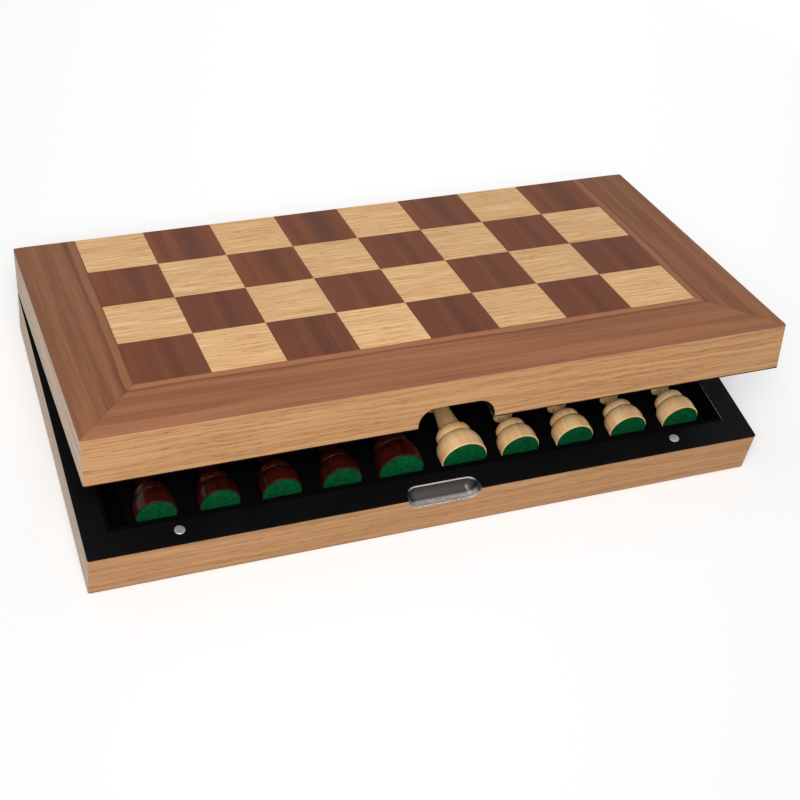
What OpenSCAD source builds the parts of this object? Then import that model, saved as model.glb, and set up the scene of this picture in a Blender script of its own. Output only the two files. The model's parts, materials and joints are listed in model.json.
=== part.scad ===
// Folding chess board box with its chessmen: two shallow trays hinged along the back,
// half of the playing board on the outside of each, and the men lying in a black insert.
// Millimetres, +Z up. The origin is the middle of the base's underside; the front faces -Y.
// The lid is drawn open at rest_angle about the hinge line.

/* [Playing face] */
// Side of one square of the board
square = 41; // [39:0.5:46]
// Width of the border strip at each side
border_side_w = 36; // [30:1:50]
// Width of the border strip along the front
border_front_w = 42; // [38:1:56]
// Thickness of the veneer squares and border strips
veneer_t = 1; // [0.6:0.1:2]
// Glue line between neighbouring pieces of veneer
veneer_joint = 0.1; // [0.05:0.05:0.3]

/* [Box] */
// Height of each half, from its playing face to the meeting plane
half_h = 29; // [27:0.5:36]
// Angle at which the lid stands open
rest_angle = 14.5; // [6:0.5:60]
// Radius of the upright corners
corner_r = 1.2; // [0.5:0.1:5]
// Gap between the halves when shut, and between their back faces when laid flat
meeting_gap = 0.3; // [0.2:0.05:0.6]

/* [Walls] */
// Thickness of the front wall
front_wall = 16; // [15:0.5:20]
// Thickness of the side walls
side_wall = 14; // [10:0.5:18]
// Thickness of the back wall
back_wall = 12; // [11:0.5:16]
// Thickness of the core panel under the playing face
panel_t = 4; // [3:0.25:6]

/* [Linings and insert] */
// Thickness of the black lining on the rims
rim_lining_t = 0.8; // [0.5:0.1:1.5]
// Thickness of the cloth lining inside the lid
lid_lining_t = 1; // [0.5:0.1:2]
// Clearance between the insert and the walls
insert_clear = 0.4; // [0.2:0.1:1]
// How far the insert lies below the rim
insert_drop = 0.5; // [0.2:0.1:2]
// Ledge of the insert between the front wall and the first pockets
front_ledge = 4; // [3:0.5:6]
// Width of the lift-out slot at each end of the insert
slot_w = 10; // [6:0.5:14]
// Distance from the front wall to the lift-out slot
slot_front = 3; // [2:0.5:20]
// Distance from the lift-out slot to the back wall
slot_back = 12; // [2:0.5:40]
// Depth of the lift-out slot
slot_depth = 17; // [8:0.5:19]
// Wall of the insert outside the lift-out slot
slot_side = 1.5; // [1:0.1:4]
// Land between the lift-out slot and the nearest pocket
slot_land = 2.7; // [2:0.1:8]
// Land between the two middle pockets
royal_land = 10.4; // [4:0.1:14]

/* [Finger notches and magnets] */
// Width of the finger notches
notch_w = 44; // [36:1:60]
// Height of the notch in the base
base_notch_h = 8; // [7.5:0.5:16]
// How far the base's notch reaches into the front wall
base_notch_d = 9.5; // [8:0.5:14]
// Height of the notch in the lid
lid_notch_h = 12; // [11:0.5:14]
// Radius of the corners of the notch in the base
base_notch_r = 7; // [3:0.5:7.5]
// Radius of the corners of the notch in the lid
lid_notch_r = 10; // [4:0.5:11]
// Sheet thickness of the metal finger cup
cup_t = 0.8; // [0.5:0.1:1.5]
// Diameter of the closing magnets
magnet_d = 6; // [4:0.5:8]
// Length of the closing magnets
magnet_l = 5; // [3:0.5:8]
// Distance from a magnet to the side of the box
magnet_inset = 51; // [30:1:120]
// Distance from a magnet to the front face
magnet_back = 9.5; // [6:0.5:11]
// Clearance round a magnet or a screw in its hole
glue_clear = 0.05; // [0.02:0.01:0.1]

/* [Hinges] */
// Distance from a hinge's middle to the side of the box
hinge_inset = 80; // [50:1:140]
// Length of each hinge
leaf_w = 40; // [30:1:60]
// Depth of each leaf from the hinge line
leaf_d = 10; // [8:0.5:10.5]
// Thickness of each leaf
leaf_t = 1.4; // [1:0.1:1.6]
// Number of knuckles along a hinge
knuckles = 5; // [3:2:7]
// Gap between neighbouring knuckles
knuckle_gap = 0.3; // [0.3:0.05:0.6]
// Radius of the hinge barrel
barrel_r = 2.5; // [2:0.1:3]
// Radius of the hinge pin
pin_r = 1.2; // [0.8:0.1:1.4]
// Running clearance round the hinge pin
pin_clear = 0.05; // [0.02:0.01:0.1]
// Clearance round the barrel in the wood and the other leaf
barrel_clear = 0.4; // [0.3:0.05:0.8]
// Radius of a hinge screw's shank
screw_r = 1.1; // [0.8:0.05:1.3]
// Radius of a hinge screw's countersunk head
screw_head_r = 2.1; // [1.8:0.05:2.2]
// Length of a hinge screw
screw_l = 10; // [6:0.5:14]
// Distance between the screws of a leaf
screw_pitch = 26; // [16:1:28]
// Distance from the screws to the hinge line
screw_back = 6.4; // [6:0.1:6.8]

/* [Chessmen] */
// Base diameter of the kings and queens
royal_base_d = 27.5; // [24:0.5:29]
// Base diameter of the bishops, knights and rooks
officer_base_d = 25; // [22:0.5:26]
// Base diameter of the pawns
pawn_base_d = 23.5; // [20:0.5:25]
// Height of a king
king_h = 76; // [70:1:82]
// Height of a queen
queen_h = 65; // [60:1:70]
// Height of a bishop
bishop_h = 55; // [51:1:60]
// Height of a knight
knight_h = 48; // [44:1:52]
// Height of a rook
rook_h = 42; // [39:1:44]
// Height of a pawn
pawn_h = 39.5; // [36:0.5:39.5]
// Length of a king's head with its collar
king_head = 31; // [27:0.5:34]
// Length of a queen's head with its collar
queen_head = 25; // [22:0.5:28]
// Length of a bishop's head with its collar
bishop_head = 21.5; // [19:0.5:23]
// Length of a rook's turret with its collar
rook_head = 13; // [11:0.5:14]
// Radius of a pawn's round head
pawn_head_r = 5.8; // [5.2:0.1:6.6]
// Thickness of a knight's carved head
knight_head_t = 9; // [7:0.5:11]
// Height of the cross on a king
cross_h = 8.5; // [6:0.5:10]
// Width of the cross on a king
cross_w = 6.2; // [4:0.2:8]
// Thickness of the cross on a king
cross_t = 2.4; // [1.6:0.1:3]
// Radius of a king's crown
king_crown_r = 8.2; // [7:0.1:9]
// Radius of a queen's crown
queen_crown_r = 8.4; // [7:0.1:9]
// Radius of the ball on a queen's crown
queen_ball_r = 2.6; // [2:0.1:3]
// Radius of a bishop's mitre
mitre_r = 6.2; // [5:0.1:7]
// Radius of the ball on a bishop's mitre
mitre_ball_r = 1.9; // [1.5:0.1:2.4]
// Width of the cut in a bishop's mitre
mitre_cut = 1.2; // [0.8:0.1:2]
// Radius of a rook's turret
turret_r = 8.8; // [7.5:0.1:9.4]
// Wall of a rook's turret
turret_wall = 3; // [2:0.1:4]
// Depth of the hollow in a rook's turret
turret_depth = 3.2; // [2:0.1:4]
// Width of the gaps between a rook's battlements
battlement_gap = 2.8; // [2:0.1:4]
// Height of the collar rings
collar_h = 4; // [3:0.25:5]
// Thickness of the felt under each man
felt_t = 1; // [0.6:0.1:2]
// Bare wood left round the felt
felt_inset = 0.8; // [0.4:0.1:2]
// Gap between a man and its pocket
pocket_clear = 0.3; // [0.2:0.05:0.6]
// Gap at each end of a man in its pocket
end_clear = 0.6; // [0.4:0.1:1]
// Wall of the insert between two men in line
man_gap = 1.6; // [1:0.1:2]
// Height of the men's axes above the insert
axis_rise = 0.6; // [0.4:0.1:3]

/* [Hidden] */
$fn = 48;
// Overshoot of a cutting tool past the surface it cuts
over = 1;

// Colours
oak = "#C99A66";
honey_oak = "#D2A56B";
walnut = "#6E3F2A";
dark_walnut = "#5B2F22";
black_lining = "#1B1A1C";
black_velvet = "#111013";
satin_steel = "#A9ABAD";
brass = "#B5924C";
dark_lacquer = "#4A120C";
boxwood = "#E2C08E";
green_felt = "#0E6B3A";

// Box: the board's size sets the case; outer faces, inner faces and levels
files = 8;
ranks = 4;
box_w = files * square + 2 * border_side_w;
half_d = ranks * square + border_front_w;
front_y = -half_d / 2;
hinge_y = half_d / 2;
back_y = hinge_y - meeting_gap / 2;
inner_front_y = front_y + front_wall;
inner_back_y = back_y - back_wall;
inner_x = box_w / 2 - side_wall;
rim_z = half_h - meeting_gap / 2;
wall_top = rim_z - rim_lining_t;
panel_top = veneer_t + panel_t;
insert_top = rim_z - insert_drop;

// Playing face: the squares fill the middle and run to the hinge line
field_x = files * square / 2;
field_front_y = back_y - ranks * square;

// Hinges
hinge_x = box_w / 2 - hinge_inset;
knuckle_pitch = leaf_w / knuckles;
barrel_cut_r = barrel_r + barrel_clear;

// Chessmen: who lies in each column, from the middle outwards and from front to back
COLUMNS = [
  ["king", "queen"],
  ["pawn", "bishop", "knight"],
  ["pawn", "pawn", "pawn", "rook"],
  ["pawn", "pawn", "pawn", "rook"],
  ["pawn", "bishop", "knight"]
];
// Height of the turned foot, of its drum, and radius of the ring above it, in base radii
foot_h = 1.62;
drum_h = 1.13;
ring_share = 0.76;
// Radius at the top of the turned foot, in base radii
foot_top = 0.52;
// How fast a stem narrows above its foot: 1 is a straight cone
stem_hollow = 1.6;

DARK = -1;
LIGHT = 1;
royal_x = royal_base_d / 2 + pocket_clear + royal_land / 2;
slot_x = inner_x - insert_clear - slot_side - slot_w;
outer_x = slot_x - slot_land - pocket_clear - officer_base_d / 2;
column_pitch = (outer_x - royal_x) / (len(COLUMNS) - 1);
first_man_y = inner_front_y + front_ledge + end_clear;

function height(kind) =
  kind == "king" ? king_h :
  kind == "queen" ? queen_h :
  kind == "bishop" ? bishop_h :
  kind == "knight" ? knight_h :
  kind == "rook" ? rook_h : pawn_h;

function base_r(kind) =
  (kind == "king" || kind == "queen" ? royal_base_d : kind == "pawn" ? pawn_base_d : officer_base_d) / 2;

// Length of the first men of a column, with the gaps after them
function run_length(men, count) = count < 1
  ? 0
  : run_length(men, count - 1) + height(men[count - 1]) + 2 * end_clear + man_gap;

function column_x(column) = royal_x + column * column_pitch;
function man_y(column, place) = first_man_y + run_length(COLUMNS[column], place);

// Every [column, place] at which a kind of man lies
function spots(kind) = [
  for (column = [0:len(COLUMNS) - 1]) for (place = [0:len(COLUMNS[column]) - 1])
    if (COLUMNS[column][place] == kind) [column, place]
];

// ---------------------------------------------------------------- helpers

// Outline of a half seen from above, with rounded upright corners
module half_outline(front, back, x) {
  translate([-x + corner_r, front]) square([2 * (x - corner_r), back - front]);
  translate([-x, front + corner_r]) square([2 * x, back - front - 2 * corner_r]);
  for (side = [-1, 1])
    for (y = [front + corner_r, back - corner_r])
      translate([side * (x - corner_r), y]) circle(corner_r);
}

// A flat piece of a half: its outline kept inside the rounded outer outline
module half_slab(low, high) {
  translate([0, 0, low])
    linear_extrude(high - low)
      intersection() {
        half_outline(front_y, back_y, box_w / 2);
        children();
      }
}

// Turns a half drawn as the base into the lid at its resting angle
module in_lid() {
  translate([0, hinge_y, half_h])
    rotate([-rest_angle, 0, 0])
      mirror([0, 0, 1])
        translate([0, -hinge_y, -half_h])
          children();
}

// Front view of a finger notch cut down from the meeting plane, less a margin all round
module notch_profile(height, corner, margin) {
  w = notch_w / 2 - margin;
  h = height - margin;
  r = corner - margin;
  translate([-w, r - h]) square([2 * w, h - r + over]);
  translate([-w + r, -h]) square([2 * (w - r), h]);
  for (side = [-1, 1])
    translate([side * (w - r), r - h]) circle(r);
}

// Plan view of a notch that stops inside the wall, with the same corners
module notch_plan(depth, margin) {
  w = notch_w / 2 - margin;
  d = depth - margin;
  r = base_notch_r - margin;
  translate([-w, -over]) square([2 * w, d - r + over]);
  translate([-w + r, -over]) square([2 * (w - r), d + over]);
  for (side = [-1, 1])
    translate([side * (w - r), d - r]) circle(r);
}

// Blind finger pocket of the base
module base_pocket(margin) {
  translate([0, front_y, rim_z])
    intersection() {
      rotate([90, 0, 0])
        translate([0, 0, -base_notch_d - over])
          linear_extrude(base_notch_d + 2 * over)
            notch_profile(base_notch_h, base_notch_r, margin);
      translate([0, 0, -base_notch_h - over])
        linear_extrude(base_notch_h + 2 * over) notch_plan(base_notch_d, margin);
    }
}

// Finger notch of the lid, through the wall and its lining
module lid_notch() {
  translate([0, inner_front_y + lid_lining_t + over, rim_z])
    rotate([90, 0, 0])
      linear_extrude(front_wall + lid_lining_t + 2 * over)
        notch_profile(lid_notch_h, lid_notch_r, 0);
}

module at_magnets() {
  for (side = [-1, 1])
    translate([side * (box_w / 2 - magnet_inset), front_y + magnet_back, rim_z - magnet_l])
      children();
}

module magnet_holes() {
  at_magnets() cylinder(r = magnet_d / 2 + glue_clear, h = magnet_l + over);
}

module magnets() {
  at_magnets() cylinder(d = magnet_d, h = magnet_l);
}

// ---------------------------------------------------------------- walls and linings

// Wall outlines meet on mitres at the four corners
module front_wall_slab(low, high) {
  half_slab(low, high)
    polygon([[-box_w / 2, front_y], [box_w / 2, front_y],
      [inner_x, inner_front_y], [-inner_x, inner_front_y]]);
}

module back_wall_slab(low, high) {
  half_slab(low, high)
    polygon([[-box_w / 2, back_y], [box_w / 2, back_y],
      [inner_x, inner_back_y], [-inner_x, inner_back_y]]);
}

module side_wall_slab(side, low, high) {
  half_slab(low, high)
    polygon([[side * box_w / 2, front_y], [side * box_w / 2, back_y],
      [side * inner_x, inner_back_y], [side * inner_x, inner_front_y]]);
}

module half_back_wall() {
  difference() {
    back_wall_slab(veneer_t, wall_top);
    hinge_cuts();
    at_hinges() leaf_screws_space(glue_clear);
  }
}

module half_panel() {
  translate([-inner_x, inner_front_y, veneer_t])
    cube([2 * inner_x, inner_back_y - inner_front_y, panel_t]);
}

// Black lining on the rims, let back for the notch, the magnets and the hinges
module rim_lining() {
  difference() {
    half_slab(wall_top, rim_z)
      difference() {
        half_outline(front_y, back_y, box_w / 2);
        translate([-inner_x, inner_front_y])
          square([2 * inner_x, inner_back_y - inner_front_y]);
      }
    magnet_holes();
    hinge_cuts();
    children();
  }
}

// ---------------------------------------------------------------- playing face

module border_front() {
  half_slab(0, veneer_t)
    polygon([[-box_w / 2, front_y], [box_w / 2, front_y],
      [field_x, field_front_y - veneer_joint], [-field_x, field_front_y - veneer_joint]]);
}

module border_side(side) {
  joint = veneer_joint * box_w / half_d;
  half_slab(0, veneer_t)
    polygon([[side * box_w / 2, front_y + joint], [side * box_w / 2, back_y],
      [side * (field_x + veneer_joint), back_y],
      [side * (field_x + veneer_joint), field_front_y + joint - veneer_joint]]);
}

// Every second square; parity 0 has the back left square as seen from above
module squares(parity) {
  for (rank = [0:ranks - 1])
    for (file = [0:files - 1])
      if ((rank + file) % 2 == parity)
        translate([file * square - field_x + veneer_joint / 2,
            back_y - (rank + 1) * square + veneer_joint / 2, 0])
          cube([square - veneer_joint, square - veneer_joint, veneer_t]);
}

// ---------------------------------------------------------------- hinges

module at_hinges() {
  for (side = [-1, 1])
    translate([side * hinge_x, hinge_y, half_h])
      children();
}

// Cylinder along X, centred on the hinge line
module hinge_rod(r, low, high) {
  translate([low, 0, 0])
    rotate([0, 90, 0])
      cylinder(r = r, h = high - low);
}

// Mortise for a leaf and groove for the barrel
module hinge_cuts() {
  at_hinges() {
    translate([-leaf_w / 2, -leaf_d, -meeting_gap / 2 - leaf_t])
      cube([leaf_w, leaf_d + over, leaf_t + over]);
    hinge_rod(barrel_cut_r, -leaf_w / 2 - barrel_clear, leaf_w / 2 + barrel_clear);
  }
}

// Countersunk screws of one leaf, or the space for them with a clearance
module leaf_screws_space(clear) {
  for (side = [-1, 1])
    translate([side * screw_pitch / 2, -screw_back, -meeting_gap / 2]) {
      translate([0, 0, -screw_l]) cylinder(r = screw_r + clear, h = screw_l);
      translate([0, 0, -leaf_t])
        cylinder(r1 = screw_r + clear, r2 = screw_head_r + clear, h = leaf_t);
    }
}

// One leaf with every second knuckle, bored for the pin
module leaf(first) {
  difference() {
    union() {
      translate([-leaf_w / 2, -leaf_d, -meeting_gap / 2 - leaf_t])
        cube([leaf_w, leaf_d, leaf_t]);
      for (k = [first:2:knuckles - 1])
        hinge_rod(barrel_r, knuckle_low(k), knuckle_low(k) + knuckle_pitch - knuckle_gap);
    }
    for (k = [1 - first:2:knuckles - 1])
      hinge_rod(barrel_cut_r, knuckle_low(k) - knuckle_gap, knuckle_low(k) + knuckle_pitch);
    hinge_rod(pin_r + pin_clear, -leaf_w / 2 - over, leaf_w / 2 + over);
    leaf_screws_space(glue_clear);
  }
}

function knuckle_low(k) = -leaf_w / 2 + k * knuckle_pitch + knuckle_gap / 2;

module base_leaf(side) {
  translate([side * hinge_x, hinge_y, half_h]) leaf(0);
}

module lid_leaf(side) {
  in_lid() translate([side * hinge_x, hinge_y, half_h]) leaf(1);
}

module hinge_pin(side) {
  translate([side * hinge_x, hinge_y, half_h])
    hinge_rod(pin_r, -leaf_w / 2, leaf_w / 2);
}

// ---------------------------------------------------------------- chessmen

// Turned foot, as [radius, height] from the felt up
function foot(r) = [
  [0, felt_t], [0.97 * r, felt_t], [r, felt_t + 0.05 * r], [r, 0.55 * r], [0.97 * r, 0.76 * r],
  [0.9 * r, 0.96 * r], [0.8 * r, 1.08 * r], [0.7 * r, drum_h * r], [0.72 * r, 1.19 * r],
  [ring_share * r, 1.28 * r], [ring_share * r, 1.4 * r], [0.7 * r, 1.5 * r],
  [0.6 * r, 1.56 * r], [foot_top * r, foot_h * r]
];

// Hollow curve of the stem from one radius to the next
function stem(r1, z1, r2, z2) = [
  for (step = [1:4])
    let (t = step / 4) [r2 + (r1 - r2) * pow(1 - t, stem_hollow), z1 + (z2 - z1) * t]
];

// Foot and stem up to the collar
function body(kind, neck_r, neck_z) = concat(
  foot(base_r(kind)),
  stem(foot_top * base_r(kind), foot_h * base_r(kind), neck_r, neck_z)
);

// Collar of two rings above the neck
function collar(r, z) = [
  [0.8 * r, z + 0.08 * collar_h], [r, z + 0.22 * collar_h], [r, z + 0.4 * collar_h],
  [0.78 * r, z + 0.58 * collar_h], [0.86 * r, z + 0.7 * collar_h], [0.86 * r, z + 0.85 * collar_h],
  [0.6 * r, z + collar_h]
];

// Round stretch of a turned outline, from one angle to another
function arc(r, z, from, to, steps) = [
  for (step = [0:steps]) let (a = from + (to - from) * step / steps) [r * cos(a), z + r * sin(a)]
];

module turned(outline) {
  rotate_extrude() polygon(outline);
}

module king() {
  z = king_h - king_head;
  cup_z = z + collar_h;
  crown_z = king_h - cross_h - 0.35 * king_crown_r;
  cross_z = king_h - cross_h;
  turned(concat(body("king", 0.56 * king_crown_r, z), collar(1.1 * king_crown_r, z), [
    [0.64 * king_crown_r, cup_z + 0.16 * (crown_z - cup_z)],
    [0.76 * king_crown_r, cup_z + 0.6 * (crown_z - cup_z)],
    [king_crown_r, crown_z], [0.92 * king_crown_r, crown_z + 0.1 * king_crown_r],
    [0.36 * king_crown_r, cross_z], [0, cross_z]]));
  translate([-cross_t / 2, -cross_t / 2, cross_z - cross_t / 4])
    cube([cross_t, cross_t, cross_h + cross_t / 4]);
  translate([-cross_w / 2, -cross_t / 2, king_h - cross_h / 3 - 1.2 * cross_t])
    cube([cross_w, cross_t, 1.2 * cross_t]);
}

module queen() {
  z = queen_h - queen_head;
  cup_z = z + collar_h;
  crown_z = queen_h - 2.6 * queen_ball_r;
  dish_z = crown_z - 0.6 * queen_ball_r;
  bite_r = 0.23 * queen_crown_r;
  bites = 8;
  difference() {
    turned(concat(body("queen", 0.52 * queen_crown_r, z), collar(1.05 * queen_crown_r, z), [
      [0.58 * queen_crown_r, cup_z + 0.16 * (crown_z - cup_z)],
      [0.72 * queen_crown_r, cup_z + 0.56 * (crown_z - cup_z)],
      [queen_crown_r, crown_z], [0.86 * queen_crown_r, crown_z],
      [0.6 * queen_crown_r, dish_z], [0, dish_z]]));
    for (i = [0:bites - 1])
      rotate([0, 0, i * 360 / bites])
        translate([queen_crown_r, 0, crown_z + 0.2 * bite_r])
          sphere(bite_r, $fn = 24);
  }
  turned(concat(
    [[0, dish_z - 0.2 * queen_ball_r], [0.56 * queen_crown_r, dish_z - 0.1 * queen_ball_r]],
    [[0.5 * queen_crown_r, dish_z + 0.5 * queen_ball_r], [0.3 * queen_crown_r, crown_z]],
    arc(queen_ball_r, queen_h - queen_ball_r, -50, 90, 5)));
}

module bishop() {
  z = bishop_h - bishop_head;
  mitre_z = z + collar_h;
  mitre_h = bishop_head - collar_h - 1.7 * mitre_ball_r;
  difference() {
    turned(concat(body("bishop", 0.63 * mitre_r, z), collar(1.2 * mitre_r, z), [
      [0.81 * mitre_r, mitre_z + 0.12 * mitre_h], [mitre_r, mitre_z + 0.34 * mitre_h],
      [mitre_r, mitre_z + 0.46 * mitre_h], [0.82 * mitre_r, mitre_z + 0.7 * mitre_h],
      [0.5 * mitre_r, mitre_z + 0.9 * mitre_h], [0.24 * mitre_r, mitre_z + mitre_h]],
      arc(mitre_ball_r, bishop_h - mitre_ball_r, -45, 90, 4)));
    translate([0.25 * mitre_r, -1.5 * mitre_r, mitre_z + 0.46 * mitre_h])
      rotate([0, -30, 0])
        translate([0, 0, -mitre_cut / 2])
          cube([2 * mitre_r, 3 * mitre_r, mitre_cut]);
  }
}

module rook() {
  z = rook_h - rook_head;
  turret_z = z + collar_h;
  battlements = 4;
  difference() {
    turned(concat(body("rook", 0.72 * turret_r, z), collar(0.95 * turret_r, z), [
      [0.8 * turret_r, turret_z + 0.1 * turret_r], [0.97 * turret_r, turret_z + 0.24 * turret_r],
      [turret_r, rook_h], [turret_r - turret_wall, rook_h],
      [turret_r - turret_wall, rook_h - turret_depth], [0, rook_h - turret_depth]]));
    for (i = [0:battlements / 2 - 1])
      rotate([0, 0, 45 + i * 360 / battlements])
        translate([-turret_r - over, -battlement_gap / 2, rook_h - 0.75 * turret_depth])
          cube([2 * (turret_r + over), battlement_gap, turret_depth]);
  }
}

// Side outline of a carved horse's head, in shares of base radius and of the height above the foot
function horse_head() = [
  [-0.6, 0], [0.5, 0], [0.58, 0.1], [0.42, 0.22], [0.3, 0.34], [0.34, 0.42], [0.62, 0.4],
  [0.86, 0.45], [0.9, 0.56], [0.74, 0.66], [0.44, 0.8], [0.3, 0.92], [0.12, 1], [0.04, 0.9],
  [-0.24, 0.88], [-0.5, 0.72], [-0.66, 0.5], [-0.7, 0.24]
];

module knight() {
  r = base_r("knight");
  z = (foot_h - 0.19) * r;
  turned(concat(foot(r), [[0, foot_h * r]]));
  translate([0, knight_head_t / 2, z])
    rotate([90, 0, 0])
      linear_extrude(knight_head_t)
        polygon([for (p = horse_head()) [p[0] * r, p[1] * (knight_h - z)]]);
}

module pawn() {
  head_z = pawn_h - pawn_head_r;
  ring_h = 0.32 * pawn_head_r;
  z = head_z - pawn_head_r - 0.45 * ring_h;
  turned(concat(body("pawn", 0.56 * pawn_head_r, z), [
    [0.88 * pawn_head_r, z + 0.15 * ring_h], [1.04 * pawn_head_r, z + 0.45 * ring_h],
    [1.04 * pawn_head_r, z + 0.75 * ring_h], [0.72 * pawn_head_r, z + ring_h]],
    arc(pawn_head_r, head_z, -50, 90, 9)));
}

module man(kind) {
  if (kind == "king") king();
  if (kind == "queen") queen();
  if (kind == "bishop") bishop();
  if (kind == "knight") knight();
  if (kind == "rook") rook();
  if (kind == "pawn") pawn();
}

module felt(kind) {
  cylinder(r = base_r(kind) - felt_inset, h = felt_t);
}

// Room for one man: a wide seat for its foot and a narrower groove for the rest
module pocket(kind) {
  r = base_r(kind);
  body_r = kind == "knight" ? r : ring_share * r;
  translate([0, 0, -end_clear]) {
    cylinder(r = r + pocket_clear, h = drum_h * r + 2 * end_clear);
    cylinder(r = body_r + pocket_clear, h = height(kind) + 2 * end_clear);
  }
}

// Lays a man on its back at its place in a column
module laid(side, column, place) {
  translate([side * column_x(column), man_y(column, place), insert_top + axis_rise])
    rotate([-90, 0, 0])
      children();
}

// One of a side's bishops, knights or rooks, or its king or queen: the first is nearest the middle
module officer(side, kind, which) {
  spot = spots(kind)[which];
  laid(side, spot[0], spot[1]) man(kind);
}

module pawns(side) {
  for (spot = spots("pawn"))
    laid(side, spot[0], spot[1]) pawn();
}

module felts(side) {
  for (column = [0:len(COLUMNS) - 1])
    for (place = [0:len(COLUMNS[column]) - 1])
      laid(side, column, place) felt(COLUMNS[column][place]);
}

// ---------------------------------------------------------------- base nodes

module base_front_wall() {
  color(honey_oak)
    difference() {
      front_wall_slab(veneer_t, wall_top);
      base_pocket(0);
      magnet_holes();
    }
}

module base_back_wall() {
  color(honey_oak) half_back_wall();
}

module base_left_wall() {
  color(oak) side_wall_slab(-1, veneer_t, wall_top);
}

module base_right_wall() {
  color(oak) side_wall_slab(1, veneer_t, wall_top);
}

module base_panel() {
  color(oak) half_panel();
}

module base_border_front() {
  color(walnut) border_front();
}

module base_border_left() {
  color(walnut) border_side(-1);
}

module base_border_right() {
  color(walnut) border_side(1);
}

module base_light_squares() {
  color(honey_oak) squares(1);
}

module base_dark_squares() {
  color(dark_walnut) squares(0);
}

module base_rim_lining() {
  color(black_lining) rim_lining() base_pocket(0);
}

module base_insert() {
  x = inner_x - insert_clear;
  front = inner_front_y + insert_clear;
  back = inner_back_y - insert_clear;
  color(black_velvet)
    difference() {
      translate([-x, front, panel_top]) cube([2 * x, back - front, insert_top - panel_top]);
      for (side = [DARK, LIGHT]) {
        for (column = [0:len(COLUMNS) - 1])
          for (place = [0:len(COLUMNS[column]) - 1])
            laid(side, column, place) pocket(COLUMNS[column][place]);
        translate([side * (slot_x + slot_w / 2) - slot_w / 2, inner_front_y + slot_front,
            insert_top - slot_depth])
          cube([slot_w, inner_back_y - inner_front_y - slot_front - slot_back,
            slot_depth + over]);
      }
    }
}

module base_finger_cup() {
  color(satin_steel)
    difference() {
      intersection() {
        base_pocket(0);
        half_slab(rim_z - base_notch_h, rim_z) half_outline(front_y, back_y, box_w / 2);
      }
      base_pocket(cup_t);
    }
}

module base_magnets() {
  color("silver") magnets();
}

// ---------------------------------------------------------------- lid nodes

module lid_front_wall() {
  color(honey_oak)
    in_lid()
      difference() {
        front_wall_slab(veneer_t, wall_top);
        lid_notch();
        magnet_holes();
      }
}

module lid_back_wall() {
  color(honey_oak) in_lid() half_back_wall();
}

module lid_left_wall() {
  color(oak) in_lid() side_wall_slab(-1, veneer_t, wall_top);
}

module lid_right_wall() {
  color(oak) in_lid() side_wall_slab(1, veneer_t, wall_top);
}

module lid_panel() {
  color(oak) in_lid() half_panel();
}

module lid_border_front() {
  color(walnut) in_lid() border_front();
}

module lid_border_left() {
  color(walnut) in_lid() border_side(-1);
}

module lid_border_right() {
  color(walnut) in_lid() border_side(1);
}

module lid_light_squares() {
  color(honey_oak) in_lid() squares(0);
}

module lid_dark_squares() {
  color(dark_walnut) in_lid() squares(1);
}

module lid_rim_lining() {
  color(black_lining) in_lid() rim_lining() lid_notch();
}

// Cloth over the inside of the lid: the panel and the four walls
module lid_lining() {
  depth = inner_back_y - inner_front_y;
  color(black_velvet)
    in_lid()
      difference() {
        translate([-inner_x, inner_front_y, panel_top])
          cube([2 * inner_x, depth, wall_top - panel_top]);
        translate([lid_lining_t - inner_x, inner_front_y + lid_lining_t, panel_top + lid_lining_t])
          cube([2 * (inner_x - lid_lining_t), depth - 2 * lid_lining_t, wall_top]);
        lid_notch();
      }
}

module lid_magnets() {
  color("silver") in_lid() magnets();
}

// ---------------------------------------------------------------- hinge nodes

module left_hinge_base_leaf() {
  color(brass) base_leaf(-1);
}

module left_hinge_lid_leaf() {
  color(brass) lid_leaf(-1);
}

module left_hinge_pin() {
  color(satin_steel) hinge_pin(-1);
}

module right_hinge_base_leaf() {
  color(brass) base_leaf(1);
}

module right_hinge_lid_leaf() {
  color(brass) lid_leaf(1);
}

module right_hinge_pin() {
  color(satin_steel) hinge_pin(1);
}

module base_hinge_screws() {
  color(brass) at_hinges() leaf_screws_space(0);
}

module lid_hinge_screws() {
  color(brass) in_lid() at_hinges() leaf_screws_space(0);
}

// ---------------------------------------------------------------- chessmen nodes

module dark_king() {
  color(dark_lacquer) officer(DARK, "king", 0);
}

module dark_queen() {
  color(dark_lacquer) officer(DARK, "queen", 0);
}

module dark_bishop_inner() {
  color(dark_lacquer) officer(DARK, "bishop", 0);
}

module dark_bishop_outer() {
  color(dark_lacquer) officer(DARK, "bishop", 1);
}

module dark_knight_inner() {
  color(dark_lacquer) officer(DARK, "knight", 0);
}

module dark_knight_outer() {
  color(dark_lacquer) officer(DARK, "knight", 1);
}

module dark_rook_inner() {
  color(dark_lacquer) officer(DARK, "rook", 0);
}

module dark_rook_outer() {
  color(dark_lacquer) officer(DARK, "rook", 1);
}

module dark_pawns() {
  color(dark_lacquer) pawns(DARK);
}

module dark_felts() {
  color(green_felt) felts(DARK);
}

module light_king() {
  color(boxwood) officer(LIGHT, "king", 0);
}

module light_queen() {
  color(boxwood) officer(LIGHT, "queen", 0);
}

module light_bishop_inner() {
  color(boxwood) officer(LIGHT, "bishop", 0);
}

module light_bishop_outer() {
  color(boxwood) officer(LIGHT, "bishop", 1);
}

module light_knight_inner() {
  color(boxwood) officer(LIGHT, "knight", 0);
}

module light_knight_outer() {
  color(boxwood) officer(LIGHT, "knight", 1);
}

module light_rook_inner() {
  color(boxwood) officer(LIGHT, "rook", 0);
}

module light_rook_outer() {
  color(boxwood) officer(LIGHT, "rook", 1);
}

module light_pawns() {
  color(boxwood) pawns(LIGHT);
}

module light_felts() {
  color(green_felt) felts(LIGHT);
}

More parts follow.
